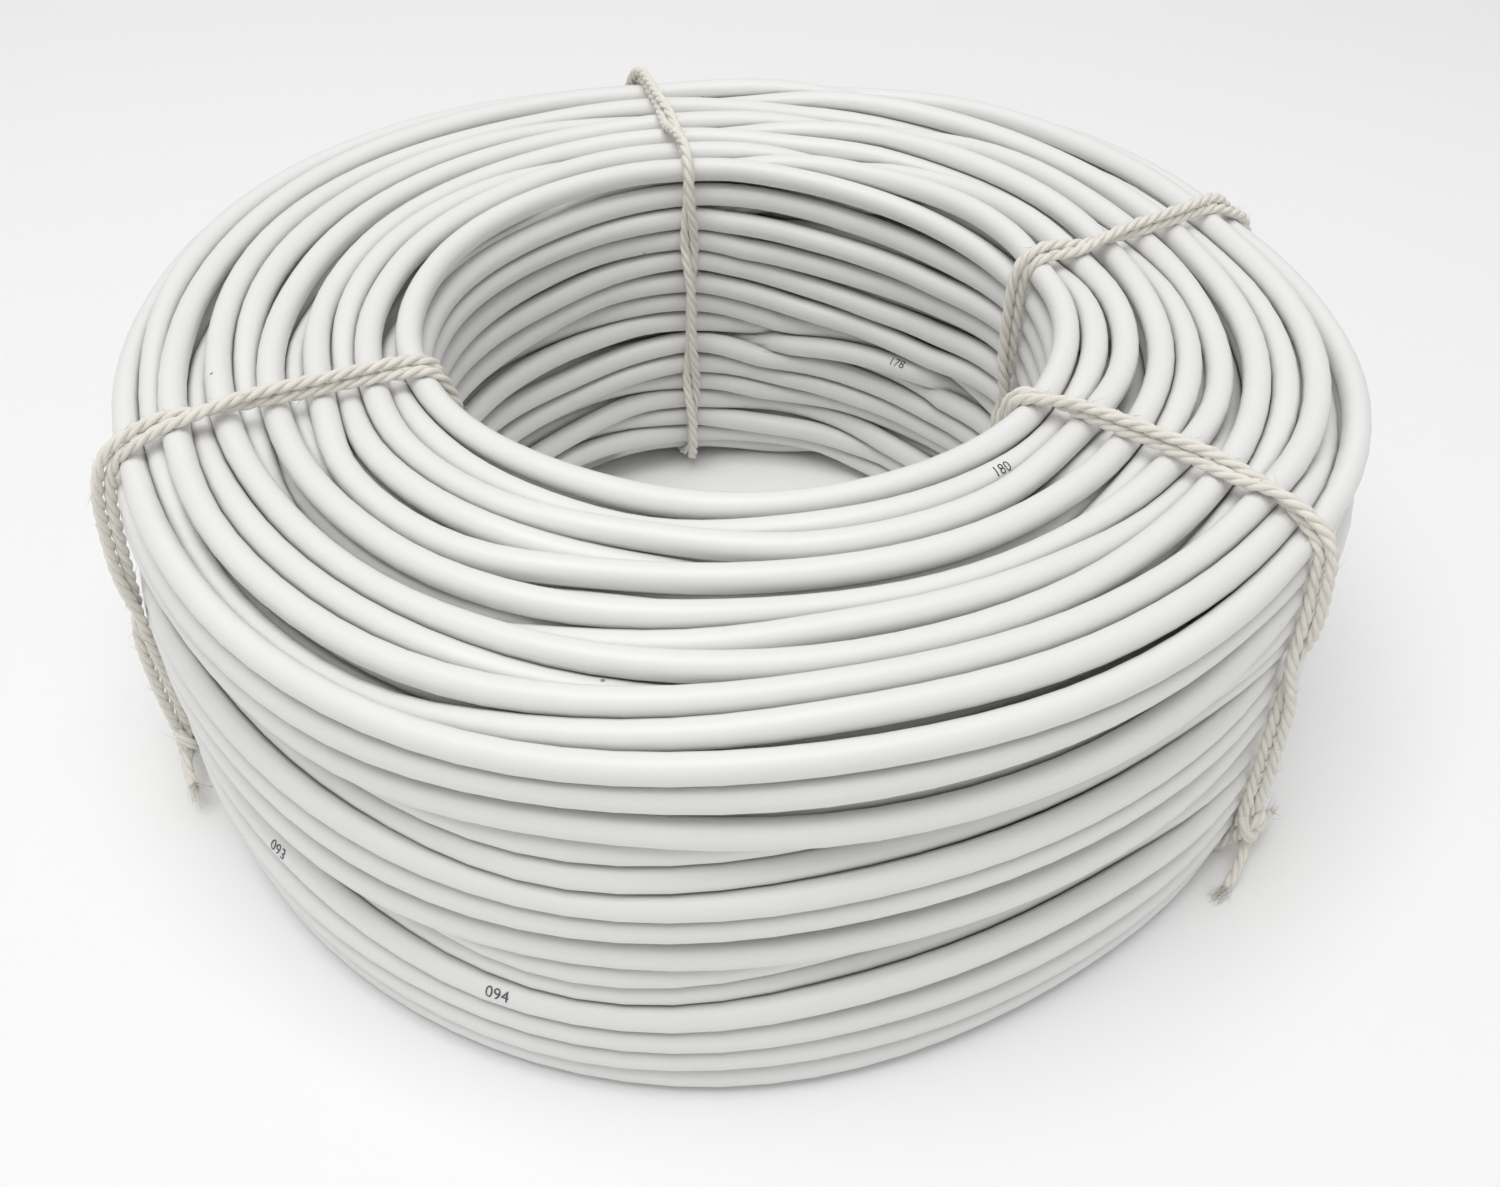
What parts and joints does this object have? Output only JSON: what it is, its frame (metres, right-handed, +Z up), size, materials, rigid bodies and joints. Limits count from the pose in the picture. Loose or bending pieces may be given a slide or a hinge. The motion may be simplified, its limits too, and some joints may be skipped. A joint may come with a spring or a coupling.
{
  "type": "coaxial cable coil",
  "caption": "Drumless coil of white coaxial cable with an open bore, held by ties of doubled twine.",
  "frame": {"origin": "on the coil's axis, on the surface that the coil lies on", "axes": "+Z up along the bore; the back tie's knot is nearest to +Y and the right tie's to +X"},
  "size_m": [0.2262, 0.2264, 0.0803],
  "materials": {
    "jacket": "satin white PVC",
    "twine": "plied cream twine"
  },
  "bodies": {
    "root": {"cable_coil": "jacket", "twine_tie_back": "twine", "twine_tie_left": "twine", "twine_tie_front": "twine", "twine_tie_right": "twine"}
  },
  "joints": []
}
